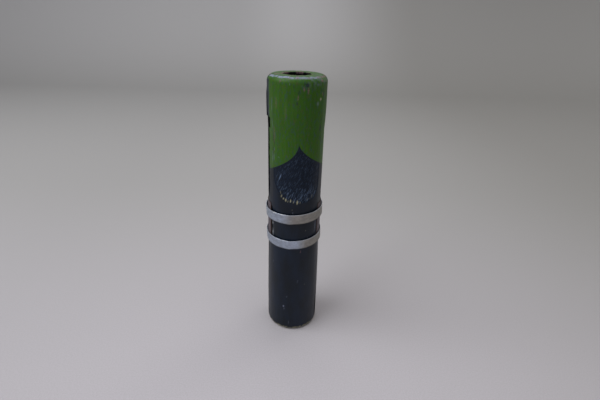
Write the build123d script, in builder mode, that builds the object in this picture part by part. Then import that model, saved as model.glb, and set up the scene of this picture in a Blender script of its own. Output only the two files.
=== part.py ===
"""A tall wooden pen holder: a turned tube made of two lengthwise halves, held together by two straps.

The two halves meet on an upright plane a little in front of the axis, and share one blind bore that
is open at the top. Two thin packing strips cover the joints between the halves at mid height. Two
bent metal straps, each lapped and riveted at the back, close around the halves and the strips.
The origin is the centre of the base, on the surface that the holder stands on. +Z is up, the front
faces -Y, and all sizes are in millimetres and degrees.
"""

import os
from dataclasses import dataclass
from math import cos, radians, sin, sqrt, tan

from build123d import *

os.makedirs("parts", exist_ok=True)

# Turned body: a straight waist that swells in a shallow arc to a thicker base and top
height = 160.0
waist_radius = 15.5
base_radius = 16.15
top_radius = 15.95
base_full_height = 12.0
waist_low = 62.0
waist_high = 132.0
top_full_height = 146.0
top_rounding = 3.5
base_rounding = 2.4

# Blind bore down the middle, which a pen stands in
bore_radius = 7.2
bore_depth = 130.0

# Joint between the halves: in front of the axis, with its left end turned towards the front
joint_forward = 2.0
joint_turn = 6.0

# Left edge of the back half: a lip near the top, and the wood cut back below it
lip_height = 138.6
cut_back = 0.4
cut_back_end = 112.0

# Carved panel on the front, pointed above and round below
panel_turn = 5.0
panel_half_angle = 60.0
panel_point_height = 127.2
panel_shoulder_height = 112.6
panel_bottom_height = 92.3
panel_bow_radius = 17.0
panel_depth = 0.35

# Packing strips over the two joints, a hair clear of the wood
strip_low = 64.5
strip_high = 89.5
strip_inner_radius = 15.53
strip_thickness = 0.30
strip_half_angle = 31.0

# Straps of flat metal strip, lapped at the back
strap_thickness = 0.4
lap_half_angle = 11.0
joggle_angle = 7.0
lap_gap = 0.03

# One rivet through each lap
rivet_shank_radius = 0.8
rivet_hole_radius = 0.82
rivet_head_radius = 1.5
rivet_head_height = 0.7
rivet_tail_height = 0.22


@dataclass
class Strap:
    """Where a strap sits, its size, and how far it is tipped down at the front and up at the right."""

    centre_height: float
    width: float
    inner_radius: float
    front_tip: float
    side_tip: float

    def plane(self):
        """The strap's middle plane, with its y direction pointing to the lap at the back."""
        rise_x, rise_y = tan(radians(self.side_tip)), tan(radians(self.front_tip))
        return Plane(
            origin=(0, 0, self.centre_height), x_dir=(1, 0, rise_x), z_dir=(-rise_x, -rise_y, 1)
        )


upper = Strap(centre_height=83.2, width=6.0, inner_radius=16.15, front_tip=1.9, side_tip=2.1)
lower = Strap(centre_height=66.8, width=5.8, inner_radius=16.07, front_tip=3.6, side_tip=1.7)

# Faces the front, so the front half lies above it and the back half below it
turn = radians(joint_turn)
joint_plane = Plane(
    origin=(joint_forward * sin(turn), -joint_forward * cos(turn), 0),
    x_dir=(cos(turn), sin(turn), 0),
    z_dir=(sin(turn), -cos(turn), 0),
)


def turn_body(half):
    """Turns the outside, rounds its two ends and bores it."""
    with BuildSketch(Plane.XZ) as section:
        with BuildLine():
            base_side = Line((base_radius, 0), (base_radius, base_full_height))
            base_swell = TangentArc(base_side @ 1, (waist_radius, waist_low), tangent=(0, 1))
            top_side = Line((top_radius, height), (top_radius, top_full_height))
            top_swell = TangentArc(top_side @ 1, (waist_radius, waist_high), tangent=(0, -1))
            Line(base_swell @ 1, top_swell @ 1)
            Polyline(base_side @ 0, (0, 0), (0, height), top_side @ 0)
        make_face()
    revolve(section.sketch, axis=Axis.Z)
    fillet(half.faces().sort_by(Axis.Z)[-1].edges(), radius=top_rounding)
    fillet(half.faces().sort_by(Axis.Z)[0].edges(), radius=base_rounding)
    with Locations((0, 0, height)):
        Hole(radius=bore_radius, depth=bore_depth)


with BuildPart() as panel_cutter:
    panel_centre = waist_radius * sin(radians(panel_turn))
    panel_half_width = waist_radius * sin(radians(panel_half_angle))
    bottom_drop = panel_shoulder_height - panel_bottom_height
    left_shoulder = (panel_centre - panel_half_width, panel_shoulder_height)
    right_shoulder = (panel_centre + panel_half_width, panel_shoulder_height)
    point = (panel_centre, panel_point_height)
    with BuildSketch(Plane.XZ):
        with BuildLine():
            RadiusArc(left_shoulder, point, -panel_bow_radius)
            RadiusArc(point, right_shoulder, -panel_bow_radius)
            EllipticalCenterArc(
                (panel_centre, panel_shoulder_height), panel_half_width, bottom_drop, 180, arc_size=180
            )
        make_face()
    extrude(amount=2 * waist_radius)
    # The floor of the panel follows the round of the body
    Cylinder(radius=waist_radius - panel_depth, height=2 * height, mode=Mode.SUBTRACT)

with BuildPart() as front_half:
    turn_body(front_half)
    split(bisect_by=joint_plane, keep=Keep.TOP)
    add(panel_cutter.part, mode=Mode.SUBTRACT)

with BuildPart() as back_half:
    turn_body(back_half)
    split(bisect_by=joint_plane, keep=Keep.BOTTOM)
    outside = -2 * waist_radius
    with BuildSketch(Plane.XZ):
        with BuildLine():
            Polyline(
                (outside, lip_height),
                (cut_back - waist_radius, lip_height),
                (-waist_radius, cut_back_end),
                (outside, cut_back_end),
                close=True,
            )
        make_face()
    extrude(amount=2 * waist_radius, both=True, mode=Mode.SUBTRACT)


def cut_packing_strip(middle_angle):
    """One thin strip, curved to the body, that covers the joint at this angle."""
    strip_outer_radius = strip_inner_radius + strip_thickness
    start = middle_angle - strip_half_angle
    with BuildSketch(Plane.XY.offset(strip_low)) as section:
        with BuildLine():
            inner = CenterArc((0, 0), strip_inner_radius, start, 2 * strip_half_angle)
            outer = CenterArc((0, 0), strip_outer_radius, start, 2 * strip_half_angle)
            Line(inner @ 0, outer @ 0)
            Line(inner @ 1, outer @ 1)
        make_face()
    extrude(section.sketch, amount=strip_high - strip_low)


with BuildPart() as left_packing_strip:
    cut_packing_strip(middle_angle=180)

with BuildPart() as right_packing_strip:
    cut_packing_strip(middle_angle=0)


def bend_strap(strap):
    """A flat strip bent once round the body, its outer end stepped out over its inner end."""
    middle_radius = strap.inner_radius + strap_thickness / 2
    lap_radius = middle_radius + strap_thickness + lap_gap
    lap_start = 90 - lap_half_angle
    with BuildSketch(strap.plane()) as section:
        with BuildLine():
            ring = CenterArc((0, 0), middle_radius, lap_start, 360 - joggle_angle)
            lap = CenterArc((0, 0), lap_radius, lap_start, 2 * lap_half_angle)
            Spline(ring @ 1, lap @ 0, tangents=[ring % 1, lap % 0])
        trace(line_width=strap_thickness)
    extrude(section.sketch, amount=strap.width / 2, both=True)
    rivet_plane = Plane(strap.plane().origin, x_dir=strap.plane().x_dir, z_dir=strap.plane().y_dir)
    with BuildSketch(rivet_plane.offset(waist_radius)) as hole:
        Circle(rivet_hole_radius)
    extrude(hole.sketch, amount=2 * strap_thickness + waist_radius, mode=Mode.SUBTRACT)


def form_rivet(strap):
    """A domed rivet through the lap, with a thin flat tail inside."""
    # The flat tail bears on the round inside of the strap along its two side edges
    inside = sqrt(strap.inner_radius**2 - rivet_head_radius**2)
    outside = strap.inner_radius + 2 * strap_thickness + lap_gap
    with BuildSketch(strap.plane()) as section:
        with BuildLine():
            outline = Polyline(
                (0, outside + rivet_head_height),
                (0, inside - rivet_tail_height),
                (rivet_head_radius, inside - rivet_tail_height),
                (rivet_head_radius, inside),
                (rivet_shank_radius, inside),
                (rivet_shank_radius, outside),
                (rivet_head_radius, outside),
            )
            TangentArc(outline @ 0, outline @ 1, tangent=(1, 0))
        make_face()
    revolve(section.sketch, axis=Axis(strap.plane().origin, strap.plane().y_dir))


with BuildPart() as upper_band:
    bend_strap(upper)

with BuildPart() as upper_band_rivet:
    form_rivet(upper)

with BuildPart() as lower_band:
    bend_strap(lower)

with BuildPart() as lower_band_rivet:
    form_rivet(lower)

front_half.part.label = "front_half"
back_half.part.label = "back_half"
left_packing_strip.part.label = "left_packing_strip"
right_packing_strip.part.label = "right_packing_strip"
upper_band.part.label = "upper_band"
upper_band_rivet.part.label = "upper_band_rivet"
lower_band.part.label = "lower_band"
lower_band_rivet.part.label = "lower_band_rivet"

export_step(front_half.part, "parts/front_half.step")
export_step(back_half.part, "parts/back_half.step")
export_step(left_packing_strip.part, "parts/left_packing_strip.step")
export_step(right_packing_strip.part, "parts/right_packing_strip.step")
export_step(upper_band.part, "parts/upper_band.step")
export_step(upper_band_rivet.part, "parts/upper_band_rivet.step")
export_step(lower_band.part, "parts/lower_band.step")
export_step(lower_band_rivet.part, "parts/lower_band_rivet.step")
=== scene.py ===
"""The looks of the pen holder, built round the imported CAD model.

Shapes are worked out in millimetres, in the CAD model's frame: +Z up, the front facing -Y. A place
on the round body is given by its angle from the front, positive to the right, or by its arc: the
distance from the front, measured round the waist.
"""

import math
from collections import namedtuple

import bpy
import numpy as np
from mathutils import Matrix, Vector


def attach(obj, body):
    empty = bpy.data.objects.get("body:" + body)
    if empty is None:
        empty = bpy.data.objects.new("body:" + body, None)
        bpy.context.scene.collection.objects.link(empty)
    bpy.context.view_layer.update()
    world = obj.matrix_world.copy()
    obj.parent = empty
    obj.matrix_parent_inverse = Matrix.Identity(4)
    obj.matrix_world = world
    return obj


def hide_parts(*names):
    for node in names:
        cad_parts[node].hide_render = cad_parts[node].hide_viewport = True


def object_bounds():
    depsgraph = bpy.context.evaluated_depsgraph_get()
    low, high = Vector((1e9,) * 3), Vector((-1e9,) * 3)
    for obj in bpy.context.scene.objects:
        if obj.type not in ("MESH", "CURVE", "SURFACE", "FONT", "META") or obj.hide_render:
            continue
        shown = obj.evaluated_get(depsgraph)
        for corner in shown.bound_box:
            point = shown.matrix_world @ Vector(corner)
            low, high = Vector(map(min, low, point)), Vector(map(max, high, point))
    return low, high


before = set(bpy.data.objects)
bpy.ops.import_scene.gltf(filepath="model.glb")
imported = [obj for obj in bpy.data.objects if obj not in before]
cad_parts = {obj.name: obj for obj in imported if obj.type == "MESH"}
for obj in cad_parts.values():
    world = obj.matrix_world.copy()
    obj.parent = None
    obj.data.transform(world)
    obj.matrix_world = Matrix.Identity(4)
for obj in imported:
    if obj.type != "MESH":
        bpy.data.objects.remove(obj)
cad_low, cad_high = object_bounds()

MM = 0.001

# Body, as in the CAD model
HEIGHT = cad_high.z / MM
WAIST_RADIUS = 15.5
BASE_RADIUS = 16.15
TOP_RADIUS = 15.95
BASE_FULL_HEIGHT = 12.0
WAIST_LOW = 62.0
WAIST_HIGH = 132.0
TOP_FULL_HEIGHT = 146.0
TOP_ROUNDING = 3.5
BASE_ROUNDING = 2.4
BORE_RADIUS = 7.2
BORE_FLOOR = 30.0

# Joint plane between the halves, and the back half's left edge, cut back below a lip
JOINT_FORWARD = 2.0
JOINT_TURN = math.radians(6.0)
JOINT_GAP = 0.02
LIP_HEIGHT = 138.6
CUT_BACK = 0.4
CUT_BACK_END = 112.0
LIP_BULGE = 0.3

# Painted line, and the carved panel under it
POINT_ARC = 1.72
POINT_HEIGHT = 127.2
SIDE_LINE_HEIGHT = 112.1
PANEL_MIDDLE = 1.3
PANEL_HALF_WIDTH = 14.8
PANEL_SIDE_HEIGHT = 108.7
PANEL_BOTTOM = 92.3
PANEL_DEPTH = 0.16

# Worn corners that run down the front half, and the flats planed beyond them
LEFT_CORNER = -53.0
RIGHT_CORNER = 58.5
LEFT_FLAT_END = -68.0
RIGHT_FLAT_END = 76.0

# Packing strips, and the slot beside the left one
STRIP_LOW = 64.5
STRIP_HIGH = 89.5
STRIP_INNER = 15.53
STRIP_THICKNESS = 0.30
STRIP_HALF_ANGLE = 31.0
SLOT_ARC = -15.6
SLOT_HALF_WIDTH = 0.7
SLOT_DEPTH = 0.8

# Straps, which are creased in front and lapped at the back
STRAP_THICKNESS = 0.4
LAP_HALF_ANGLE = 11.0
JOGGLE_ANGLE = 7.0
LAP_GAP = 0.03
CREASE_ANGLE = -10.5
CREASE_HEIGHT = 0.3
RIVET_HEAD = 1.5
RIVET_SHANK = 0.8

# Camera, fitted to the photo: angles in degrees, and distances as shares of the object's height
CAMERA_PITCH = 25.48
CAMERA_YAW = 0.95
CAMERA_ROLL = 1.78
CAMERA_LENS = 22.23
CAMERA_BACK = 1.256
CAMERA_UP = 1.146


# ---------------------------------------------------------------- numbers

def smoothstep(low, high, value):
    """0 below low, 1 above high, and a smooth rise between."""
    t = np.clip((np.asarray(value, float) - low) / (high - low), 0, 1)
    return t * t * (3 - 2 * t)


def between(low, high, soft, value):
    """1 between low and high, falling to 0 over a soft distance outside them."""
    return smoothstep(low - soft, low, value) * (1 - smoothstep(high, high + soft, value))


def lattice(cell, seed):
    """A fixed pseudo-random number from 0 to 1 for each whole-number point."""
    n = cell[:, 0] * 374761393 + cell[:, 1] * 668265263 + cell[:, 2] * 1440662683 + seed * 974634777
    n = n & 0xFFFFFFFF
    n = ((n ^ (n >> 13)) * 1274126177) & 0xFFFFFFFF
    return ((n ^ (n >> 16)) & 0xFFFF) / 65535.0


def noise(points, sizes, seed):
    """Smooth noise from -1 to 1, with features of the given sizes along each axis."""
    p = np.asarray(points, float) / np.asarray(sizes, float)
    cell = np.floor(p).astype(np.int64)
    f = p - cell
    f = f * f * (3 - 2 * f)
    total = np.zeros(len(p))
    for corner in np.ndindex(2, 2, 2):
        weight = np.prod(np.abs(1 - np.array(corner) - f), axis=1)
        total += weight * lattice(cell + np.array(corner), seed)
    return 2 * total - 1


def noise_2d(a, b, a_size, b_size, seed):
    """The same noise over a flat sheet."""
    a, b = np.broadcast_arrays(a, b)
    points = np.stack([a.ravel(), b.ravel(), np.zeros(a.size)], 1)
    return noise(points, (a_size, b_size, 1.0), seed).reshape(a.shape)


def spaced(low, high, step):
    """Evenly spaced values from low to high, about a step apart."""
    return list(np.linspace(low, high, max(2, round((high - low) / step) + 1)))


# ---------------------------------------------------------------- meshes

def ring_faces(rings, columns, closed):
    """The quads between neighbouring rings of points."""
    across = columns if closed else columns - 1
    faces = []
    for i in range(rings - 1):
        low, high = i * columns, (i + 1) * columns
        for j in range(across):
            k = (j + 1) % columns
            faces.append((low + j, low + k, high + k, high + j))
    return faces


def make_piece(name, points, faces, body, stands_for, material, values):
    """A mesh in millimetres becomes a piece that rides on a CAD body and replaces its node."""
    mesh = bpy.data.meshes.new(name)
    mesh.from_pydata((np.asarray(points) * MM).tolist(), [], faces)
    mesh.validate()
    mesh.shade_smooth()
    mesh.set_sharp_from_angle(angle=math.radians(50))
    for key, value in values.items():
        attribute = mesh.attributes.new(key, "FLOAT", "POINT")
        attribute.data.foreach_set("value", np.asarray(value, np.float32))
    mesh.materials.append(material)
    piece = bpy.data.objects.new(name, mesh)
    bpy.context.scene.collection.objects.link(piece)
    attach(piece, body)
    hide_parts(stands_for)
    return piece


# ---------------------------------------------------------------- materials

def rgb(red, green, blue):
    """A linear colour from its everyday 0 to 255 values."""
    parts = [c / 255 for c in (red, green, blue)]
    linear = [c / 12.92 if c <= 0.04045 else ((c + 0.055) / 1.055) ** 2.4 for c in parts]
    return (*linear, 1.0)


class Finish:
    """A node material, with short names for the nodes that it uses."""

    def __init__(self, name):
        self.material = bpy.data.materials.new(name)
        self.material.use_nodes = True
        self.tree = self.material.node_tree
        self.shader = self.tree.nodes["Principled BSDF"]
        self.place = self.tree.nodes.new("ShaderNodeTexCoord").outputs["Object"]

    def put(self, socket, value):
        """Links a node's output, or sets a plain value."""
        if isinstance(value, bpy.types.NodeSocket):
            self.tree.links.new(value, socket)
        else:
            socket.default_value = value

    def attribute(self, name):
        node = self.tree.nodes.new("ShaderNodeAttribute")
        node.attribute_name = name
        return node.outputs["Fac"]

    def noise(self, sizes, detail=3.0, roughness=0.55):
        """Noise from 0 to 1, with features of the given sizes in millimetres along each axis."""
        mapping = self.tree.nodes.new("ShaderNodeMapping")
        mapping.inputs["Scale"].default_value = [1 / (size * MM) for size in sizes]
        self.put(mapping.inputs["Vector"], self.place)
        node = self.tree.nodes.new("ShaderNodeTexNoise")
        node.inputs["Scale"].default_value = 1.0
        node.inputs["Detail"].default_value = detail
        node.inputs["Roughness"].default_value = roughness
        self.put(node.inputs["Vector"], mapping.outputs["Vector"])
        return node.outputs["Fac"]

    def math(self, operation, a, b=0.0):
        node = self.tree.nodes.new("ShaderNodeMath")
        node.operation = operation
        self.put(node.inputs[0], a)
        self.put(node.inputs[1], b)
        return node.outputs[0]

    def rise(self, value, low, high, start=0.0, end=1.0):
        """A smooth rise from start to end as the value goes from low to high."""
        node = self.tree.nodes.new("ShaderNodeMapRange")
        node.interpolation_type = "SMOOTHSTEP"
        self.put(node.inputs["Value"], value)
        for key, number in (("From Min", low), ("From Max", high), ("To Min", start), ("To Max", end)):
            node.inputs[key].default_value = number
        return node.outputs["Result"]

    def mix(self, share, first, second):
        """The first colour where the share is 0, the second where it is 1."""
        node = self.tree.nodes.new("ShaderNodeMix")
        node.data_type = "RGBA"
        self.put(node.inputs["Factor"], share)
        self.put(node.inputs[6], first)
        self.put(node.inputs[7], second)
        return node.outputs[2]

    def bump(self, height, distance):
        """Fine relief, with the distance in millimetres."""
        node = self.tree.nodes.new("ShaderNodeBump")
        node.inputs["Distance"].default_value = distance * MM
        self.put(node.inputs["Height"], height)
        self.put(self.shader.inputs["Normal"], node.outputs["Normal"])

    def colour(self, value):
        self.put(self.shader.inputs["Base Color"], value)

    def gloss(self, roughness):
        self.put(self.shader.inputs["Roughness"], roughness)


def painted_wood():
    """Green gloss paint over blue-black lacquer on wood, worn through in places."""
    f = Finish("painted_wood")
    streaks = f.noise((1.1, 1.1, 18.0), 3)
    broad = f.noise((6.0, 6.0, 16.0), 3)
    grain = f.noise((0.25, 0.25, 3.0), 3)
    specks = f.noise((0.45, 0.45, 0.6), 2)

    bluish = f.rise(f.noise((0.9, 0.9, 2.4), 3), 0.48, 0.72, 0.0, 0.6)
    brownish = f.rise(f.noise((0.8, 0.8, 2.0), 3), 0.52, 0.74, 0.0, 0.5)

    green = f.mix(f.rise(streaks, 0.25, 0.75), rgb(52, 90, 12), rgb(58, 102, 18))
    green = f.mix(f.rise(broad, 0.35, 0.7, 0.0, 0.5), green, rgb(48, 92, 26))
    green = f.mix(bluish, green, rgb(52, 74, 82))
    green = f.mix(brownish, green, rgb(84, 74, 50))

    lacquer = f.mix(f.rise(broad, 0.3, 0.7), rgb(2, 14, 26), rgb(6, 23, 42))
    lacquer = f.mix(f.rise(grain, 0.5, 0.8, 0.0, 0.25), lacquer, rgb(32, 42, 54))
    panel = f.mix(f.rise(specks, 0.35, 0.75), rgb(7, 18, 30), rgb(18, 34, 56))
    inside = f.rise(f.attribute("panel"), -0.2, 0.5)
    lacquer = f.mix(inside, lacquer, panel)
    lacquer = f.mix(f.attribute("pale"), lacquer, rgb(112, 134, 166))

    colour = f.mix(f.rise(f.attribute("green"), -0.12, 0.12), lacquer, green)
    # Blue-grey for undercoat worn through, and for the painted highlight along the top edge
    worn = f.mix(f.rise(specks, 0.3, 0.7), rgb(104, 110, 144), rgb(156, 164, 178))
    colour = f.mix(f.attribute("cool"), colour, worn)
    rubbed = f.mix(f.rise(specks, 0.4, 0.6), rgb(112, 78, 84), rgb(146, 112, 120))
    colour = f.mix(f.attribute("warm"), colour, rubbed)
    slate = f.mix(f.rise(specks, 0.3, 0.7), rgb(24, 30, 38), rgb(46, 54, 68))
    colour = f.mix(f.attribute("slate"), colour, slate)
    # Near-black for dirt in the joints, and for painted shade in the bore, the slot and under the back
    # half's lip
    colour = f.mix(f.attribute("stain_and_shade"), colour, rgb(12, 12, 13))
    wood = f.mix(f.rise(grain, 0.3, 0.7), rgb(180, 177, 150), rgb(124, 120, 94))
    colour = f.mix(f.attribute("bare"), colour, wood)
    f.colour(colour)
    dull = f.math("MAXIMUM", f.attribute("bare"), f.attribute("cool"))
    dull = f.math("MAXIMUM", dull, f.attribute("stain_and_shade"))
    f.gloss(f.math("ADD", f.rise(grain, 0.3, 0.8, 0.34, 0.46), f.math("MULTIPLY", dull, 0.25)))
    # Dirt and painted shade lose their reflections, and the carved panel some of its own
    matt = f.math("MAXIMUM", f.attribute("stain_and_shade"), f.math("MULTIPLY", inside, 0.4))
    shine = f.rise(f.attribute("green"), -0.12, 0.12, 0.3, 0.2)
    shine = f.math("MULTIPLY", shine, f.rise(matt, 0.0, 1.0, 1.0, 0.0))
    f.put(f.shader.inputs["Specular IOR Level"], shine)
    f.bump(f.math("ADD", f.math("MULTIPLY", streaks, 0.6), f.math("MULTIPLY", grain, 0.25)), 0.06)
    return f.material


def packing_leather():
    """Thin purple-brown leather, rubbed paler on its high spots."""
    f = Finish("packing_leather")
    pores = f.noise((0.35, 0.35, 0.5), 4)
    smears = f.noise((1.5, 1.5, 6.0), 3)
    colour = f.mix(f.rise(smears, 0.35, 0.7), rgb(74, 66, 74), rgb(104, 95, 102))
    colour = f.mix(f.rise(pores, 0.55, 0.8, 0.0, 0.6), colour, rgb(140, 128, 124))
    colour = f.mix(f.attribute("edge"), colour, rgb(60, 42, 36))
    f.colour(colour)
    f.gloss(f.rise(pores, 0.3, 0.8, 0.5, 0.72))
    f.bump(pores, 0.12)
    return f.material


def dull_metal(name, light, dark):
    """Soft grey metal with brushed marks, with painted shade that darkens it towards the right and along
    its lower edges, a painted highlight along its top edges, and painted glints.
    """
    f = Finish(name)
    brushed = f.noise((3.0, 3.0, 0.16), 4)
    cloudy = f.noise((2.2, 2.2, 1.6), 3)
    scratches = f.noise((0.2, 0.2, 1.6), 3)
    smudges = f.noise((2.0, 2.0, 0.4), 3)
    # Painted shade: lighter and bluer to the left, darker and warmer to the right
    colour = f.mix(f.attribute("tarnish"), light, dark)
    colour = f.mix(f.rise(cloudy, 0.3, 0.7, 0.0, 0.3), colour, rgb(112, 110, 112))
    colour = f.mix(f.rise(brushed, 0.35, 0.75, 0.0, 0.25), colour, rgb(170, 172, 180))
    colour = f.mix(f.rise(smudges, 0.58, 0.72, 0.0, 0.35), colour, rgb(98, 97, 100))
    colour = f.mix(f.rise(scratches, 0.66, 0.8, 0.0, 0.4), colour, rgb(84, 80, 78))
    # Painted highlight along the straps' top edges
    colour = f.mix(f.math("MULTIPLY", f.attribute("edge"), 0.6), colour, rgb(206, 212, 224))
    # Painted shade along the straps' lower edges
    colour = f.mix(f.math("MULTIPLY", f.attribute("lower_edge_shade"), 0.55), colour, rgb(52, 44, 40))
    # Painted glints on the upper strap's top edge
    colour = f.mix(f.attribute("glint"), colour, rgb(250, 252, 255))
    f.colour(colour)
    f.shader.inputs["Metallic"].default_value = 1.0
    f.gloss(f.rise(cloudy, 0.25, 0.75, 0.36, 0.52))
    f.bump(f.math("ADD", f.math("MULTIPLY", brushed, 0.5), f.math("MULTIPLY", scratches, 0.3)), 0.05)
    return f.material


WOOD = painted_wood()
LEATHER = packing_leather()
# Lit and shaded colours for the painted shade across each strap and rivet
STRAP_METAL = dull_metal("strap_metal", rgb(180, 192, 208), rgb(156, 153, 144))
RIVET_METAL = dull_metal("rivet_metal", rgb(146, 150, 160), rgb(116, 112, 106))


# ---------------------------------------------------------------- paint and wear on the body

# A worn place: its middle and half sizes in millimetres, its tilt in degrees, and its strength
Mark = namedtuple("Mark", "arc height half_arc half_height tilt strength")

# Blue-grey undercoat showing through the green
COOL_MARKS = (
    Mark(11.4, 147.1, 1.0, 1.3, 0, 0.35),
    Mark(11.0, 156.4, 1.2, 0.7, 0, 0.3),
    Mark(-3.6, 156.6, 0.3, 0.6, 0, 0.25),
    Mark(-13.1, 118.0, 0.4, 2.6, 0, 0.35),
    Mark(-9.5, 118.6, 0.8, 0.4, 15, 0.2),
    Mark(-12.6, 122.5, 0.3, 1.2, 0, 0.25),
)
# Dark blue-grey undercoat, bared where the green has gone
SLATE_MARKS = (
    Mark(5.0, 156.4, 1.3, 1.3, 10, 0.85),
    Mark(3.6, 157.0, 0.5, 0.9, 0, 0.5),
    Mark(13.7, 153.8, 0.7, 0.9, 0, 0.5),
    Mark(-1.5, 155.4, 0.4, 1.3, 0, 0.45),
    Mark(-5.6, 156.4, 0.3, 0.8, 0, 0.4),
    Mark(8.4, 157.2, 0.6, 0.6, 0, 0.4),
    Mark(12.8, 142.6, 0.8, 0.9, 0, 0.35),
    Mark(-12.7, 126.0, 0.4, 2.0, 0, 0.5),
    Mark(0.9, 152.6, 0.4, 1.6, 3, 0.6),
    Mark(0.2, 147.6, 0.5, 1.3, 0, 0.7),
    Mark(14.9, 138.5, 0.6, 1.5, 0, 0.5),
    Mark(14.6, 134.0, 0.8, 2.6, 0, 0.75),
    Mark(14.4, 129.0, 0.5, 1.5, 0, 0.4),
    Mark(-13.6, 128.5, 0.5, 3.0, 0, 0.6),
    Mark(-14.0, 121.0, 0.5, 4.0, 0, 0.5),
    Mark(-3.0, 156.8, 0.3, 1.0, 0, 0.4),
)
# Pink-brown rubbed places
WARM_MARKS = (
    Mark(0.6, 150.4, 0.35, 1.6, 3, 0.6),
    Mark(3.4, 154.4, 0.45, 1.3, -6, 0.5),
    Mark(5.6, 153.6, 0.55, 2.0, 0, 0.6),
    Mark(14.4, 158.0, 1.2, 0.8, 0, 0.7),
    Mark(-11.1, 147.0, 0.9, 3.6, 0, 0.2),
    Mark(-12.9, 130.0, 1.0, 6.0, 0, 0.22),
    Mark(-5.5, 143.0, 0.8, 5.0, 0, 0.12),
    Mark(15.0, 151.4, 0.6, 1.0, 0, 0.4),
    Mark(-8.8, 157.7, 0.45, 0.8, 0, 0.6),
    Mark(14.8, 151.9, 0.35, 0.8, 0, 0.5),
    Mark(4.4, 60.6, 0.5, 0.6, 15, 0.8),
)
# Chips down to the pale wood
CHIPS = (
    Mark(13.4, 149.1, 0.8, 0.9, 0, 1.0),
    Mark(7.5, 36.0, 0.2, 0.3, 0, 0.3),
    Mark(-1.2, 88.4, 0.24, 0.3, 0, 0.35),
    Mark(7.2, 74.5, 0.3, 0.5, 0, 0.3),
)
# Pale wood left bare where the strokes end, along the bottom of the panel
FLECKS = (
    Mark(-8.3, 98.2, 0.3, 1.2, -10, 0.4),
    Mark(-7.7, 96.3, 0.5, 1.1, 10, 0.65),
    Mark(-6.4, 95.0, 0.5, 0.8, 20, 0.8),
    Mark(-5.0, 94.2, 0.6, 1.1, 0, 0.9),
    Mark(-3.7, 93.6, 0.3, 0.9, 15, 0.5),
    Mark(-2.2, 94.0, 0.45, 1.2, 5, 0.95),
    Mark(-0.5, 93.4, 0.35, 1.0, 15, 0.6),
    Mark(1.6, 93.2, 0.6, 1.5, 5, 0.95),
    Mark(3.2, 92.9, 0.3, 0.8, 10, 0.45),
    Mark(7.6, 94.6, 0.3, 0.9, 20, 0.3),
    Mark(10.7, 95.8, 0.4, 1.3, 10, 0.4),
    Mark(9.3, 94.6, 0.3, 0.7, 0, 0.2),
)
# Small pale nicks in the lacquer
NICKS = (
    Mark(-5.4, 18.8, 0.55, 0.65, 0, 1.0),
    Mark(-5.0, 17.0, 0.4, 0.8, 10, 0.3),
    Mark(3.0, 39.0, 0.4, 1.4, 10, 0.15),
    Mark(-3.4, 27.0, 0.7, 0.4, 30, 0.15),
    Mark(-2.0, 6.0, 0.3, 1.6, 0, 0.25),
    Mark(-0.8, 86.6, 0.25, 0.7, 0, 0.45),
    Mark(-13.6, 50.0, 0.35, 0.5, 0, 0.5),
    Mark(8.6, 69.5, 0.35, 0.7, 0, 0.2),
)
# Where the knife slipped along the panel's upper left edge
KNIFE_SLIP = Mark(-8.7, 107.4, 0.34, 2.5, 22, 0.75)
# Pale scraped lines beside the packing strips
LEFT_SCRAPE = Mark(-14.45, 73.5, 0.9, 6.0, 0, 1.0)
RIGHT_SCRAPE = Mark(14.5, 75.5, 0.3, 4.6, 0, 0.5)
# A dark open length of the seam, low on the right
SEAM = Mark(19.9, 11.0, 1.5, 15.0, 0, 1.0)


def marked(arc, z, marks):
    """The strength, from 0 to 1, of the strongest mark at each point."""
    total = np.zeros_like(arc)
    for mark in marks:
        t = math.radians(mark.tilt)
        away, up = arc - mark.arc, z - mark.height
        u = (away * math.cos(t) - up * math.sin(t)) / mark.half_arc
        v = (away * math.sin(t) + up * math.cos(t)) / mark.half_height
        total = np.maximum(total, mark.strength * (1 - smoothstep(0.35, 1.15, np.hypot(u, v))))
    return total


def painted_line(arc):
    """Height of the painted line: two hollow curves that meet in a point."""
    away = np.abs(arc - POINT_ARC)
    return POINT_HEIGHT - np.where(arc < POINT_ARC, 4.4 * away**0.46, 2.85 * away**0.56)


def above_line(arc, z):
    """Distance above the painted line, measured square to it."""
    step = 0.05
    slope = (painted_line(arc + step) - painted_line(arc - step)) / (2 * step)
    return (z - painted_line(arc)) / np.sqrt(1 + slope**2)


def inside_panel(arc, z):
    """Distance inside the panel: under the painted line and above the rounded bottom."""
    across = np.abs(arc - PANEL_MIDDLE) / PANEL_HALF_WIDTH
    down = np.clip((PANEL_SIDE_HEIGHT - z) / (PANEL_SIDE_HEIGHT - PANEL_BOTTOM), 0, None)
    power = np.where(arc < PANEL_MIDDLE, 2.0, 3.0)
    rounded = (1 - (across**power + down**power) ** (1 / power)) * PANEL_HALF_WIDTH
    return np.minimum(rounded, -above_line(arc, z))


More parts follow.
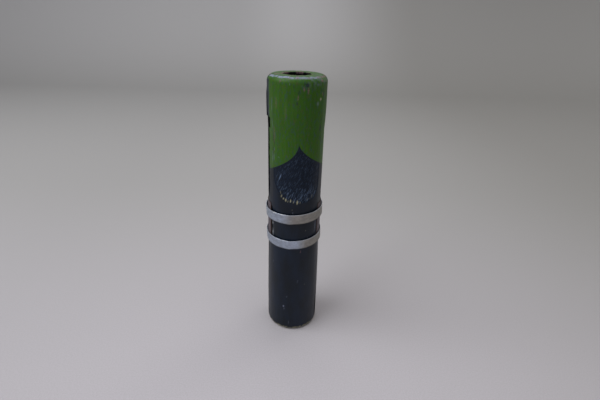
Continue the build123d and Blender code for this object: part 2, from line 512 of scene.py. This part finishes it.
def knife_strokes(arc, z):
    """Depth and paleness of the strokes cut in the panel, short and slanting up to the right."""
    rng = np.random.default_rng(7)
    depth, pale = np.zeros_like(arc), np.zeros_like(arc)
    slant = math.radians(62)
    for row in np.arange(90.0, 124.0, 1.25):
        for place in np.arange(-15.5, 18.5, 0.86):
            middle, level = np.array([place, row]) + rng.uniform(-0.45, 0.45, 2)
            half_length, half_width = rng.uniform(0.5, 1.2), rng.uniform(0.14, 0.26)
            cut, turn = rng.uniform(0.02, 0.09), slant + rng.uniform(-0.16, 0.16)
            low = float(smoothstep(104, 96, level))
            half_length *= 0.6 + 0.4 * low
            shine = rng.uniform(0, 1) ** 3 * (0.2 + 0.44 * low)
            if inside_panel(np.array([middle]), np.array([level]))[0] < 0.35:
                continue
            near = np.nonzero((np.abs(arc - middle) < 2.4) & (np.abs(z - level) < 2.4))[0]
            away, up = arc[near] - middle, z[near] - level
            along = away * math.cos(turn) + up * math.sin(turn)
            aside = up * math.cos(turn) - away * math.sin(turn)
            gap = np.hypot(0.6 * np.clip(np.abs(along) - half_length, 0, None), aside)
            blade = 1 - smoothstep(half_width * 0.2, half_width * 1.5, gap)
            depth[near] = np.maximum(depth[near], cut * blade)
            pale[near] = np.maximum(pale[near], shine * blade)
    return depth, pale


def planed_flat(angle, corner, edge):
    """Depth of a flat planed from a corner line towards the joint."""
    middle, half = math.radians((corner + edge) / 2), math.radians(abs(edge - corner) / 2)
    off = angle - middle
    sink = WAIST_RADIUS * (1 - math.cos(half) / np.cos(np.clip(off, -half, half)))
    return np.where(np.abs(off) < half, sink, 0.0)


def worn_ridge(arc, z, place, seed):
    """A narrow broken line of wear along a corner."""
    wander = 0.18 * noise_2d(np.zeros_like(z), z, 1, 5, seed)
    patchy = smoothstep(-0.15, 0.45, noise_2d(arc, z, 3, 4, seed + 1))
    return patchy * (1 - smoothstep(0.12, 0.48, np.abs(arc - place - wander)))


def blank_paint(like):
    """The paint values of plain lacquer."""
    zero = np.zeros_like(like)
    return {
        "green": zero - 9, "panel": zero - 9, "cool": zero.copy(), "warm": zero.copy(),
        "bare": zero.copy(), "pale": zero.copy(), "stain_and_shade": zero.copy(), "slate": zero.copy(),
    }


def add_wear(paint, key, amount):
    paint[key] = np.maximum(paint[key], amount)


def wear_joint(depth, paint, z, edge_gap):
    """Both halves are rounded and dirty along the joint."""
    rounding = 0.36 + 0.14 * noise_2d(0 * z, z, 1, 3.5, 11) + 0.08 * noise_2d(0 * z, z, 1, 0.9, 12)
    inset = np.clip(rounding - edge_gap, 0, None)
    depth += rounding - np.sqrt(np.clip(rounding**2 - inset**2, 0, None))
    add_wear(paint, "stain_and_shade", 1 - smoothstep(0.1, 0.55, edge_gap))


def wear_ends(depth, paint, arc, z):
    """The top edge is rubbed to the undercoat and carries a painted highlight, brightest on the left; the
    base edge is rubbed to the wood.
    """
    wander = 0.16 * noise_2d(arc, z, 1.7, 9, 13)
    rim = between(HEIGHT - 0.7, HEIGHT - 0.3, 0.3, z + wander)
    rim = rim * smoothstep(-0.9, -0.1, noise_2d(arc, z, 1.3, 9, 14))
    right = smoothstep(12.5, 16.0, arc)
    # Blue-grey along the top edge: worn undercoat together with a painted highlight, strongest on the
    # left
    add_wear(paint, "cool", rim * (0.95 - 0.2 * smoothstep(-5, 4, arc)) * (1 - right))
    haze = smoothstep(153, 158.5, z) * smoothstep(-2, 6, arc)
    haze = haze * smoothstep(-0.3, 0.9, noise_2d(arc, z, 1.1, 1.3, 18))
    add_wear(paint, "cool", 0.28 * haze)
    pink = 0.5 * smoothstep(0.0, 0.5, noise_2d(arc, z, 2.1, 9, 17))
    add_wear(paint, "warm", rim * np.maximum(0.5 * right, pink))
    foot = 1 - smoothstep(1.3, 2.5, z + 0.9 * noise_2d(arc, z, 1.1, 9, 15))
    add_wear(paint, "bare", 0.75 * foot)
    depth += 0.05 * rim + 0.08 * foot


def turned_surface(arc, z):
    """Depth of the slight unevenness that the whole side has."""
    return 0.035 + 0.007 * noise_2d(arc, z, 0.7, 14, 1) + 0.02 * noise_2d(arc, z, 2.6, 30, 2)


def wear_paint(depth, paint, arc, z):
    """The marks, chips and nicks that stand by themselves."""
    add_wear(paint, "cool", marked(arc, z, COOL_MARKS))
    add_wear(paint, "warm", marked(arc, z, WARM_MARKS))
    add_wear(paint, "slate", marked(arc, z, SLATE_MARKS))
    chips = marked(arc, z, CHIPS)
    nicks = marked(arc, z, NICKS)
    depth += 0.14 * chips + 0.06 * paint["cool"] + 0.08 * nicks
    add_wear(paint, "bare", chips)
    add_wear(paint, "cool", nicks)


def carve_panel(depth, paint, arc, z):
    """The sunk panel with its knife strokes, and the wood that they left bare at the bottom."""
    floor = smoothstep(0.0, 1.3, paint["panel"] + 0.35 * noise_2d(arc, z, 1.1, 1.6, 5))
    upper = smoothstep(PANEL_SIDE_HEIGHT, POINT_HEIGHT - 3, z)
    cut, pale = knife_strokes(arc, z)
    slip = marked(arc, z, [KNIFE_SLIP])
    flecks = marked(arc, z, FLECKS)
    depth += PANEL_DEPTH * floor * (1 - 0.6 * upper) + cut * floor
    depth += 0.1 * slip + 0.16 * flecks
    add_wear(paint, "pale", np.maximum(pale * floor, slip))
    add_wear(paint, "bare", flecks)


def plane_corners(depth, paint, arc, angle, z):
    """The flats planed towards the joint, and the wear along the corners that they leave."""
    planed = between(96, 149, 8, z)
    depth += 0.5 * planed * planed_flat(angle, LEFT_CORNER, LEFT_FLAT_END)
    depth += 0.5 * planed * planed_flat(angle, RIGHT_CORNER, RIGHT_FLAT_END)
    left_wear = worn_ridge(arc, z, math.radians(LEFT_CORNER) * WAIST_RADIUS, 6)
    right_wear = worn_ridge(arc, z, math.radians(RIGHT_CORNER) * WAIST_RADIUS, 8)
    add_wear(paint, "cool", 0.25 * left_wear * between(116, 150, 3, z))
    add_wear(paint, "slate", 0.75 * right_wear * between(118, 152, 4, z))


def scrape_sides(depth, paint, arc, z):
    """The slot and the scraped lines beside the strips, and the open seam low on the right."""
    slot = 1 - smoothstep(0.75 * SLOT_HALF_WIDTH, SLOT_HALF_WIDTH, np.abs(arc - SLOT_ARC))
    slot = slot * between(STRIP_LOW, STRIP_HIGH - 3, 1.5, z)
    depth += SLOT_DEPTH * slot
    # The slot is painted nearly black, as painted shade down in it
    add_wear(paint, "stain_and_shade", slot)
    scrape = marked(arc, z, [LEFT_SCRAPE]) * smoothstep(-0.8, 0.2, noise_2d(arc, z, 2, 2.5, 10))
    add_wear(paint, "bare", 0.4 * scrape)
    add_wear(paint, "cool", np.maximum(scrape, marked(arc, z, [RIGHT_SCRAPE])))
    seam = marked(arc, z, [SEAM])
    depth += 0.2 * seam
    add_wear(paint, "stain_and_shade", seam)


def soil_and_shade_left_edge(paint, arc, z, edge_gap):
    """Undercoat shows beside the back half's lip, painted shade darkens the front half just under the
    lip, and dirt fills the joint below that.
    """
    ragged = edge_gap + 0.3 * noise_2d(arc, z, 9, 1.6, 19)
    left = arc < 0
    beside_lip = (1 - smoothstep(2.8, 3.5, ragged)) * left * between(139.5, 157, 1.5, z)
    shade_under_lip = (1 - smoothstep(3.8, 4.5, ragged)) * left * between(133.5, 138.3, 1, z)
    below = (1 - smoothstep(2.3, 3.0, ragged)) * left * between(96, 136, 6, z)
    add_wear(paint, "slate", beside_lip)
    # Painted shade just under the lip, and dirt in the joint further down
    add_wear(paint, "stain_and_shade", np.maximum(shade_under_lip, 0.9 * below))


def front_surface(arc, angle, z, edge_gap):
    """How far the front half's side is cut in, and its paint, at each point."""
    paint = blank_paint(arc)
    depth = turned_surface(arc, z)
    paint["green"] = above_line(arc, z)
    paint["panel"] = inside_panel(arc, z)
    wear_paint(depth, paint, arc, z)
    carve_panel(depth, paint, arc, z)
    plane_corners(depth, paint, arc, angle, z)
    scrape_sides(depth, paint, arc, z)
    soil_and_shade_left_edge(paint, arc, z, edge_gap)
    return depth, paint


def back_surface(arc, angle, z, edge_gap):
    """The same for the back half, whose left edge is cut back below a lip."""
    paint = blank_paint(arc)
    paint["green"] = z - SIDE_LINE_HEIGHT - 0.5 * noise_2d(arc, z, 9, 50, 3)
    left = arc > math.pi * WAIST_RADIUS
    margin = (1 - smoothstep(2.5, 6.0, edge_gap)) * left
    add_wear(paint, "slate", margin * (z > LIP_HEIGHT) * (1 - smoothstep(157, 158.5, z)))
    # Below the lip the left margin is painted nearly black; under the lip, where the edge is cut back,
    # this is painted shade
    add_wear(paint, "stain_and_shade", 0.9 * margin * (z < LIP_HEIGHT))
    spots = smoothstep(0.45, 0.7, noise_2d(arc, z, 1.1, 3.5, 16))
    add_wear(paint, "slate", 0.7 * spots)
    add_wear(paint, "cool", 0.3 * spots * smoothstep(0.2, 0.6, noise_2d(arc, z, 0.5, 0.7, 20)))

    share = (z - CUT_BACK_END) / (LIP_HEIGHT - CUT_BACK_END)
    across = np.sin(angle)
    behind_face = share * CUT_BACK - WAIST_RADIUS - body_radius(z) * across
    cut = np.where((share > 0) & (share < 1) & left, behind_face, 0) / np.maximum(np.abs(across), 0.3)
    lip = LIP_BULGE * between(LIP_HEIGHT + 0.6, 150, 4, z) * left * (1 - smoothstep(4, 9, edge_gap))
    return np.maximum(turned_surface(arc, z), cut) - lip, paint


# ---------------------------------------------------------------- body

def body_radius(z):
    """Radius of the turned body: a straight waist that swells in shallow arcs to both ends."""
    z = np.asarray(z, float)
    down = np.clip((WAIST_LOW - z) / (WAIST_LOW - BASE_FULL_HEIGHT), 0, 1)
    up = np.clip((z - WAIST_HIGH) / (TOP_FULL_HEIGHT - WAIST_HIGH), 0, 1)
    base_swell = (BASE_RADIUS - WAIST_RADIUS) * (2 * down - down**2)
    top_swell = (TOP_RADIUS - WAIST_RADIUS) * (2 * up - up**2)
    return WAIST_RADIUS + base_swell + top_swell


def outline(side_heights):
    """(radius, height) of each ring up the outside, from the base's edge to the top face's edge."""
    rings = []
    for a in np.linspace(0, math.pi / 2, 9)[:-1]:
        z = BASE_ROUNDING * (1 - math.cos(a))
        rings.append((float(body_radius(z)) - BASE_ROUNDING * (1 - math.sin(a)), z))
    rings += [(float(body_radius(z)), z) for z in side_heights]
    for a in np.linspace(0, math.pi / 2, 12)[1:]:
        z = HEIGHT - TOP_ROUNDING * (1 - math.sin(a))
        rings.append((float(body_radius(z)) - TOP_ROUNDING * (1 - math.cos(a)), z))
    return np.array(rings)


class Half:
    """One half of the body, front or back of the joint plane."""

    def __init__(self, front, side_heights, arc_step):
        self.front = front
        self.normal = np.array([math.sin(JOINT_TURN), -math.cos(JOINT_TURN)])
        self.plane = JOINT_FORWARD + (JOINT_GAP if front else -JOINT_GAP)
        reach = 2 * math.acos(self.plane / WAIST_RADIUS)
        self.arc_length = WAIST_RADIUS * (reach if front else 2 * math.pi - reach)
        edge = [0, 0.02, 0.06, 0.12, 0.2, 0.3, 0.42, 0.56, 0.75]
        inner = spaced(1.0, self.arc_length - 1.0, arc_step)
        arcs = edge + inner + [self.arc_length - e for e in reversed(edge)]
        self.across = np.array(arcs) / self.arc_length
        self.edge_gap = np.minimum(self.across, 1 - self.across) * self.arc_length
        self.outline = outline(side_heights)
        self.rings = []
        self.paint = {key: [] for key in blank_paint(self.across)}

    def angles(self, radius):
        """Angles round a ring that starts and ends on the joint plane."""
        reach = np.arccos(np.clip(self.plane / radius, -1, 1))
        if self.front:
            return JOINT_TURN + (2 * self.across - 1) * reach
        return JOINT_TURN + reach + 2 * self.across * (math.pi - reach)

    def add_ring(self, radius, z, paint):
        """Adds a ring of points, with one radius and height for all or one each."""
        angle = self.angles(radius)
        self.rings.append(np.stack([radius * np.sin(angle), -radius * np.cos(angle), z + 0 * angle], 1))
        for key, value in paint.items():
            self.paint[key].append(value + 0 * angle)

    def add_outside(self):
        """The whole outside, from the base's edge to the top face's edge."""
        radius, height = self.outline[:, 0], self.outline[:, 1]
        angle = np.array([self.angles(r) for r in radius])
        z = np.repeat(height, len(self.across))
        gap = np.tile(self.edge_gap, len(height))
        arc = angle.ravel() * WAIST_RADIUS
        surface = front_surface if self.front else back_surface
        depth, paint = surface(arc, angle.ravel(), z, gap)
        wear_joint(depth, paint, z, gap)
        wear_ends(depth, paint, arc, z)
        ends = 0.25 + 0.75 * smoothstep(0, 2, z) * smoothstep(0, 2, HEIGHT - z)
        depth = (depth * ends).reshape(angle.shape)
        for i in range(len(height)):
            row = {key: value.reshape(angle.shape)[i] for key, value in paint.items()}
            self.add_ring(radius[i] - depth[i], height[i], row)

    def add_top(self):
        """The top face, in to the ragged mouth of the bore."""
        outer = self.rings[-1]
        angle = self.angles(BORE_RADIUS)
        ragged = 0.38 - 0.22 * np.sin(angle) + 0.4 * noise_2d(angle * 7, 0, 1.3, 1, 21)
        ragged += 0.25 * noise_2d(angle * 7, 0, 0.45, 1, 22)
        self.ragged = np.clip(ragged, 0.05, None)
        mouth = BORE_RADIUS + 1.4 * self.ragged
        angle = self.angles(mouth)
        inner = np.stack([mouth * np.sin(angle), -mouth * np.cos(angle), HEIGHT + 0 * angle], 1)
        for t in np.linspace(0, 1, 12)[1:]:
            points = outer + t * (inner - outer)
            points[:, 2] = HEIGHT - 0.03 - 0.03 * noise(points, (1.6, 1.6, 1), 23)
            self.rings.append(points)
            off = np.abs(points[:, :2] @ self.normal - self.plane)
            paint = blank_paint(off)
            paint["green"] += 18
            along = points[:, 0]
            brown = between(-12.5, -9.2, 0.8, along) * (1 - smoothstep(0.4, 1.2, off))
            grey = between(9.3, 14, 0.8, along) * (1 - smoothstep(0.2, 0.6, off))
            add_wear(paint, "stain_and_shade", 0.7 * (1 - smoothstep(0.1, 0.4, off)))
            add_wear(paint, "warm", brown)
            add_wear(paint, "cool", 0.7 * grey)
            add_wear(paint, "warm", 0.8 * smoothstep(0.78, 1.0, t) * smoothstep(0.1, 0.45, self.ragged))
            for key, value in paint.items():
                self.paint[key].append(value)

    def add_bore(self):
        """The bore, chipped at its mouth and dark inside, down to its floor."""
        paint = blank_paint(self.across)
        # The wall below the mouth is painted nearly black, as painted shade inside the deep bore
        paint["stain_and_shade"] += 0.95
        chipped = blank_paint(self.across)
        chipped["warm"] += 0.7 * smoothstep(0.2, 0.5, self.ragged)
        chipped["stain_and_shade"] += 0.7
        for drop, share, wall in ((0.2, 0.75, chipped), (0.45, 0.3, chipped), (0.8, 0.06, paint)):
            radius = BORE_RADIUS + share * self.ragged
            self.add_ring(radius, HEIGHT - drop * (1 + self.ragged), wall)
        for z in reversed(spaced(BORE_FLOOR, HEIGHT - 3.0, 4.0)):
            marks = 0.03 * noise_2d(self.across * 40, z, 3, 9, 25)
            self.add_ring(BORE_RADIUS - 0.02 + marks, z, paint)

    def build(self, name, node):
        """Closes the half with its base, the bore's floor and the flat joint face."""
        self.add_outside()
        self.add_top()
        self.add_bore()
        rings, columns = len(self.rings), len(self.across)
        faces = ring_faces(rings, columns, False)
        starts = [i * columns for i in range(rings)]
        faces.append(tuple(reversed(range(columns))))
        faces.append(tuple(range(starts[-1], starts[-1] + columns)))
        faces.append(tuple(starts) + tuple(start + columns - 1 for start in reversed(starts)))
        values = {key: np.concatenate(value) for key, value in self.paint.items()}
        points = np.concatenate(self.rings)
        return make_piece(name, points, faces, "holder", node, WOOD, values)


front_heights = (
    spaced(2.8, 62.0, 0.9)[:-1] + spaced(62.0, 90.5, 0.5)[:-1] + spaced(90.5, 127.5, 0.22)[:-1]
    + spaced(127.5, HEIGHT - TOP_ROUNDING, 0.55)
)
back_heights = (
    spaced(2.8, LIP_HEIGHT - 0.1, 0.9) + spaced(LIP_HEIGHT + 0.1, HEIGHT - TOP_ROUNDING, 0.7)
)
Half(True, front_heights, 0.225).build("front_shell", "front_half")
Half(False, back_heights, 0.45).build("back_shell", "back_half")


# ---------------------------------------------------------------- packing strips

def build_strip(name, node, middle_angle, seed):
    """A thin curved strip with worn, slightly uneven edges."""
    middle_z, half_height = (STRIP_HIGH + STRIP_LOW) / 2, (STRIP_HIGH - STRIP_LOW) / 2
    steps = spaced(-0.97, 0.97, 0.05)
    up = np.array([-1, -1, -0.995] + steps + [0.995, 1, 1] + steps[::-2])
    out = np.array([0.1, 0.6, 0.9] + [1.0] * len(steps) + [0.9, 0.6, 0.1] + [0.0] * len(steps[::-2]))
    edges = [0, 0.1, 0.25]
    length = math.radians(2 * STRIP_HALF_ANGLE) * STRIP_INNER
    along = np.array(edges + spaced(0.5, length - 0.5, 0.3) + [length - e for e in reversed(edges)])
    points, edge_wear = [], []
    for place in along:
        end_gap = min(place, length - place)
        thin = math.sqrt(max(0.0, 1 - (1 - min(1.0, end_gap / 0.25)) ** 2))
        z = middle_z + up * (half_height - 0.2 - 0.18 * noise_2d(place, up * 3, 1.4, 1, seed))
        side = (2 * place / length - 1) * STRIP_HALF_ANGLE
        side = side * (1 - 0.012 - 0.01 * noise_2d(z, 0, 2.5, 1, seed + 1))
        angle = np.radians(middle_angle + side)
        swell = 0.03 * noise_2d(place + 0 * z, z, 1.6, 4, seed + 2)
        radius = STRIP_INNER + out * ((STRIP_THICKNESS - 0.03 + swell) * max(thin, 0.25))
        points.append(np.stack([radius * np.sin(angle), -radius * np.cos(angle), z], 1))
        edge_wear.append(np.maximum(1 - smoothstep(0.2, 0.8, end_gap), smoothstep(0.95, 1.0, np.abs(up))))
    columns = len(up)
    faces = ring_faces(len(along), columns, True)
    faces = [tuple(reversed(face)) for face in faces]
    faces.append(tuple(range(columns)))
    faces.append(tuple(reversed(range((len(along) - 1) * columns, len(along) * columns))))
    points = np.concatenate(points)
    values = {"edge": np.concatenate(edge_wear)}
    return make_piece(name, points, faces, "holder", node, LEATHER, values)


build_strip("left_strip", "left_packing_strip", -90, 31)
build_strip("right_strip", "right_packing_strip", 90, 41)


# ---------------------------------------------------------------- straps and rivets

# Each strap dips by front_tip degrees to the front and rises by side_tip to the right. It stands out
# by side_swell at its sides. Painted shade, darker and warmer to the right, sets in between two
# places, measured to the right.
Strap = namedtuple(
    "Strap", "name centre width inner_radius front_tip side_tip side_swell tarnish_from tarnish_to seed"
)
STRAPS = (
    Strap("upper", 83.2, 6.0, 16.15, 1.9, 2.1, 0.3, -9.0, 1.0, 51),
    Strap("lower", 66.8, 5.8, 16.07, 3.6, 1.7, 0.1, 1.0, 8.0, 61),
)
# Painted glints, bright highlights on the upper strap's top edge: (angle from the front, half width) in
# degrees
GLINTS = ((-43.5, 3.0), (-25.0, 2.0))


def strap_frame(strap):
    """The strap's own frame: x to the right, y to the lap at the back, z square to the strap."""
    rise_x, rise_y = math.tan(math.radians(strap.side_tip)), math.tan(math.radians(strap.front_tip))
    z_axis = Vector((-rise_x, -rise_y, 1)).normalized()
    x_axis = Vector((1, 0, rise_x)).normalized()
    return np.array([x_axis, z_axis.cross(x_axis), z_axis]), np.array([0, 0, strap.centre])


def strap_section(width):
    """Round-edged section of the flat strip: outward and upward distance, and 1 at its edges."""
    rounding = 0.13
    half_t, half_w = STRAP_THICKNESS / 2, width / 2
    points = []
    for across, up, start in ((1, 1, 0), (-1, 1, 90), (-1, -1, 180), (1, -1, 270)):
        for a in np.radians(start + 22.5 * np.arange(5)):
            x = across * (half_t - rounding) + rounding * math.cos(a)
            z = up * (half_w - rounding) + rounding * math.sin(a)
            points.append((x, z, 1.0))
        if start in (90, 270):
            flat = spaced(rounding - half_w, half_w - rounding, 0.45)[1:-1]
            points += [(across * half_t, -up * z, 0.0) for z in flat]
    return np.array(points)


def build_strap(strap):
    """A hand-bent strap, creased at the front and lapped at the back."""
    middle = strap.inner_radius + STRAP_THICKNESS / 2
    start = 90 - LAP_HALF_ANGLE
    outer_start = start + 360
    turn_start = outer_start - JOGGLE_ANGLE
    stations = spaced(start, turn_start, 1.0) + spaced(turn_start, outer_start, 0.7)[1:]
    stations += spaced(outer_start, outer_start + 2 * LAP_HALF_ANGLE, 1.0)[1:]
    axes, origin = strap_frame(strap)
    out, up, edge = strap_section(strap.width).T
    points, glint, tarnish = [], [], []
    for station in stations:
        rise = float(smoothstep(turn_start, outer_start, station)) * (STRAP_THICKNESS + LAP_GAP)
        from_front = (station + 90 + 180) % 360 - 180
        crease = CREASE_HEIGHT * math.exp(-(((from_front - CREASE_ANGLE) / 6) ** 2))
        crease -= 0.06 * math.exp(-(((from_front - 4) / 9) ** 2))
        wave = 0.02 * (1 + noise_2d(station, 0, 25, 1, strap.seed))
        wave -= 0.1 * math.cos(math.radians(min(abs(from_front), 90)))
        wave += strap.side_swell * math.sin(math.radians(from_front)) ** 2
        dents = 0.015 * noise_2d(station + 0 * up, up, 4, 1.5, strap.seed + 2)
        radius = middle + rise + crease + wave + out + dents
        height = up * (0.98 + 0.015 * noise_2d(station, 0, 9, 1, strap.seed + 1))
        a = math.radians(station)
        flat = np.stack([radius * math.cos(a), radius * math.sin(a), height], 1)
        points.append(flat @ axes + origin)
        # Painted shade, darker and warmer towards the strap's right
        tarnish.append(smoothstep(strap.tarnish_from, strap.tarnish_to, flat[:, 0]))
        # Painted glints at the places listed in GLINTS
        spots = sum(math.exp(-(((from_front - place) / half) ** 2)) for place, half in GLINTS)
        glint.append(min(1.0, spots) * (strap.name == "upper") * edge * (up > 0))
    columns = len(out)
    faces = [tuple(reversed(face)) for face in ring_faces(len(stations), columns, True)]
    faces.append(tuple(range(columns)))
    faces.append(tuple(reversed(range((len(stations) - 1) * columns, len(stations) * columns))))
    # The top edges take a painted highlight, and the lower edges painted shade
    values = {
        "edge": np.tile(edge * (up > 0), len(stations)), "lower_edge_shade": np.tile(edge * (up < 0), len(stations)),
        "glint": np.concatenate(glint), "tarnish": np.concatenate(tarnish),
    }
    return make_piece(
        f"{strap.name}_strap_piece", np.concatenate(points), faces, f"{strap.name}_strap",
        f"{strap.name}_band", STRAP_METAL, values,
    )


def build_rivet(strap):
    """A hammered rivet through the lap: domed head outside, flat tail inside."""
    inside = math.sqrt(strap.inner_radius**2 - RIVET_HEAD**2) + 0.03
    outside = strap.inner_radius + 2 * STRAP_THICKNESS + LAP_GAP + 0.02
    dome = np.linspace(0.15, 1.5, 9)
    radius = [RIVET_HEAD * r for r in (0.05, 0.8, 0.97, 1.0, 0.96)] + [RIVET_SHANK, RIVET_SHANK]
    radius += [RIVET_HEAD * 0.96, RIVET_HEAD] + list(RIVET_HEAD * np.cos(dome))
    out = [inside - 0.2, inside - 0.2, inside - 0.16, inside - 0.08, inside, inside, outside]
    out += [outside, outside + 0.08] + list(outside + 0.08 + 0.55 * np.sin(dome))
    axes, origin = strap_frame(strap)
    turns = np.linspace(0, 2 * math.pi, 41)[:-1]
    points = []
    for r, y in zip(radius, out):
        flat = np.stack([r * np.cos(turns), y + 0 * turns, r * np.sin(turns)], 1)
        if y > outside:
            flat[:, 1] += 0.03 * noise(flat, (0.7, 9, 0.7), strap.seed + 3)
        points.append(flat @ axes + origin)
    columns = len(turns)
    faces = [tuple(reversed(face)) for face in ring_faces(len(radius), columns, True)]
    faces.append(tuple(range(columns)))
    faces.append(tuple(reversed(range((len(radius) - 1) * columns, len(radius) * columns))))
    points = np.concatenate(points)
    plain = np.zeros(len(points))
    values = {"edge": plain, "lower_edge_shade": plain, "glint": plain, "tarnish": plain + 0.5}
    return make_piece(
        f"{strap.name}_rivet_piece", points, faces, f"{strap.name}_strap",
        f"{strap.name}_band_rivet", RIVET_METAL, values,
    )


for strap in STRAPS:
    build_strap(strap)
    build_rivet(strap)


# ---------------------------------------------------------------- floor, light and camera

def pale_floor():
    """The plain floor: pale grey, with painted shade that makes it a little dimmer in the distance and
    towards the sides.
    """
    f = Finish("pale_floor")
    mottle = f.noise((0.8, 0.8, 0.8), 2)
    split = f.tree.nodes.new("ShaderNodeSeparateXYZ")
    f.put(split.inputs[0], f.place)
    aside, away = split.outputs["X"], split.outputs["Y"]
    # Painted light and shade: lightest in front, dimmer further back and towards the sides, the right
    # most, and lighter again up the backdrop
    colour = f.mix(f.rise(away, -0.15, 0.25), rgb(195, 190, 197), rgb(170, 168, 168))
    colour = f.mix(f.rise(away, 0.15, 0.75), colour, rgb(164, 163, 162))
    colour = f.mix(f.rise(away, 0.9, 1.4), colour, rgb(198, 197, 199))
    colour = f.mix(f.rise(aside, -0.02, 0.45, 0.0, 0.75), colour, rgb(142, 140, 136))
    colour = f.mix(f.rise(aside, -0.25, -0.02, 0.3, 0.0), colour, rgb(150, 149, 150))
    f.colour(f.mix(f.rise(mottle, 0.3, 0.7, 0.0, 0.3), colour, rgb(164, 162, 162)))
    f.gloss(0.9)
    f.shader.inputs["Specular IOR Level"].default_value = 0.2
    return f.material


def build_floor():
    """A wide floor that sweeps up into a backdrop far behind the object."""
    flat_end, sweep, half_width = 0.9, 0.5, 6.0
    line = [(-6.0, 0.0)] + [(y, 0.0) for y in spaced(-0.5, flat_end, 0.2)]
    line += [
        (flat_end + sweep * math.sin(a), sweep * (1 - math.cos(a)))
        for a in np.linspace(0, math.pi / 2, 25)[1:]
    ]
    line.append((flat_end + sweep, 4.0))
    points = [(x, y, z) for y, z in line for x in (-half_width, half_width)]
    faces = [(2 * i, 2 * i + 1, 2 * i + 3, 2 * i + 2) for i in range(len(line) - 1)]
    mesh = bpy.data.meshes.new("floor")
    mesh.from_pydata(points, [], faces)
    mesh.shade_smooth()
    mesh.materials.append(pale_floor())
    floor = bpy.data.objects.new("floor", mesh)
    bpy.context.scene.collection.objects.link(floor)


def area_light(name, place, size, power, colour):
    """A square soft light that faces the middle of the object."""
    data = bpy.data.lights.new(name, "AREA")
    data.size = size
    data.energy = power
    data.color = colour
    light = bpy.data.objects.new(name, data)
    light.location = place
    target = Vector((0, 0, HEIGHT * MM / 2))
    light.rotation_euler = (target - Vector(place)).to_track_quat("-Z", "Y").to_euler()
    bpy.context.scene.collection.objects.link(light)


def light_scene():
    """Soft light from the upper left, with less from above and behind, over an even fill."""
    area_light("key_light", (-0.75, -0.25, 1.1), 1.0, 11.0, (0.96, 0.98, 1.0))
    area_light("top_light", (0.1, 0.3, 1.4), 1.0, 6.0, (1.0, 0.985, 0.96))
    area_light("back_light", (1.15, 1.35, 0.8), 1.2, 5.0, (1.0, 0.99, 0.98))
    world = bpy.data.worlds.new("fill")
    world.use_nodes = True
    background = world.node_tree.nodes["Background"]
    background.inputs["Color"].default_value = (0.985, 0.985, 1.0, 1.0)
    background.inputs["Strength"].default_value = 0.35
    bpy.context.scene.world = world


def build_camera():
    """The camera looks down at the front, turned and tilted a little."""
    pitch, yaw, roll = (math.radians(a) for a in (CAMERA_PITCH, CAMERA_YAW, CAMERA_ROLL))
    forward = Vector((math.sin(yaw) * math.cos(pitch), math.cos(yaw) * math.cos(pitch), -math.sin(pitch)))
    level = Vector((math.cos(yaw), -math.sin(yaw), 0))
    upright = level.cross(forward)
    right = math.cos(roll) * level + math.sin(roll) * upright
    up = -math.sin(roll) * level + math.cos(roll) * upright
    data = bpy.data.cameras.new("camera")
    data.sensor_width = 36
    data.lens = CAMERA_LENS
    data.clip_start = 0.01
    camera = bpy.data.objects.new("camera", data)
    matrix = Matrix((right, up, -forward)).transposed().to_4x4()
    matrix.translation = (0, -CAMERA_BACK * HEIGHT * MM, CAMERA_UP * HEIGHT * MM)
    camera.matrix_world = matrix
    bpy.context.scene.collection.objects.link(camera)
    bpy.context.scene.camera = camera


build_floor()
light_scene()
build_camera()
bpy.context.scene.view_settings.view_transform = "Standard"
